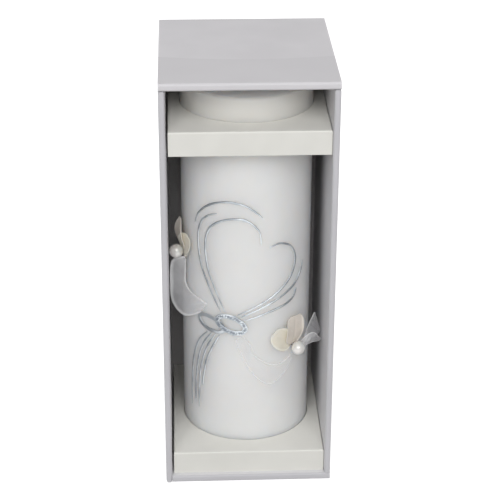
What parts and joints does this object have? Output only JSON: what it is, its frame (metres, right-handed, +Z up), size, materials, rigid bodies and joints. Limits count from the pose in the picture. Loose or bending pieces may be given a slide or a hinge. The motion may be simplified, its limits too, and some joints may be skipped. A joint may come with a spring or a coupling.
{
  "type": "boxed unity candle",
  "caption": "Pillar unity candle with silver wax heart strips, rings and pearl flowers, held by card trays in an open-fronted box.",
  "frame": {"origin": "middle of the underside of the box", "axes": "+Z up, the open front of the box faces -Y, +X to the right seen from the front"},
  "size_m": [0.098, 0.11, 0.2525],
  "materials": {
    "box_card": "pearlescent lilac-grey coated card with a fine linen grain",
    "box_lining": "plain matt grey card inside, pearl card outside",
    "tray_card": "uncoated ivory card",
    "wax": "smooth ivory-white wax with a soft satin sheen",
    "wick_cotton": "braided waxed cotton",
    "silver_wax": "silver-foiled wax, bright",
    "pearl": "nacreous pearl",
    "pin_steel": "bright steel wire",
    "petal_cream": "cream satin",
    "petal_beige": "beige satin",
    "organza": "sheer white organza with a bright hem"
  },
  "bodies": {
    "box": {"box_back": "box_lining", "box_left_wall": "box_card", "box_right_wall": "box_card", "box_top_wall": "box_card", "box_bottom_wall": "box_card"},
    "base_tray": {"bottom_tray": "tray_card"},
    "candle": {"candle_body": "wax", "wick": "wick_cotton", "heart_strip_1": "silver_wax", "heart_strip_2": "silver_wax", "heart_strip_3": "silver_wax", "heart_strip_4": "silver_wax", "heart_strip_5": "silver_wax", "heart_strip_6": "silver_wax", "tail_strip_1": "silver_wax", "tail_strip_2": "silver_wax", "tail_strip_3": "silver_wax", "tail_strip_4": "silver_wax", "ring_left": "silver_wax", "ring_right": "silver_wax", "pearl_left": "pearl", "pearl_right": "pearl", "pin_left": "pin_steel", "pin_right": "pin_steel", "petal_left_cream": "petal_cream", "petal_left_beige": "petal_beige", "petal_right_cream": "petal_cream", "petal_right_beige": "petal_beige", "organza_left_swag": "organza", "organza_right_swag": "organza", "organza_leaf": "organza", "organza_curl": "organza"},
    "upper_tray": {"top_tray": "tray_card"}
  },
  "joints": [
    {"name": "insert_slide", "type": "slide", "parent": "box", "child": "base_tray", "axis": [0, -1, 0], "range_m": [0, 0.12]},
    {"name": "candle_lift", "type": "slide", "parent": "base_tray", "child": "candle", "axis": [0, 0, 1], "range_m": [0, 0.005]},
    {"name": "top_tray_lift", "type": "slide", "parent": "candle", "child": "upper_tray", "axis": [0, 0, 1], "range_m": [0, 0.018]}
  ]
}
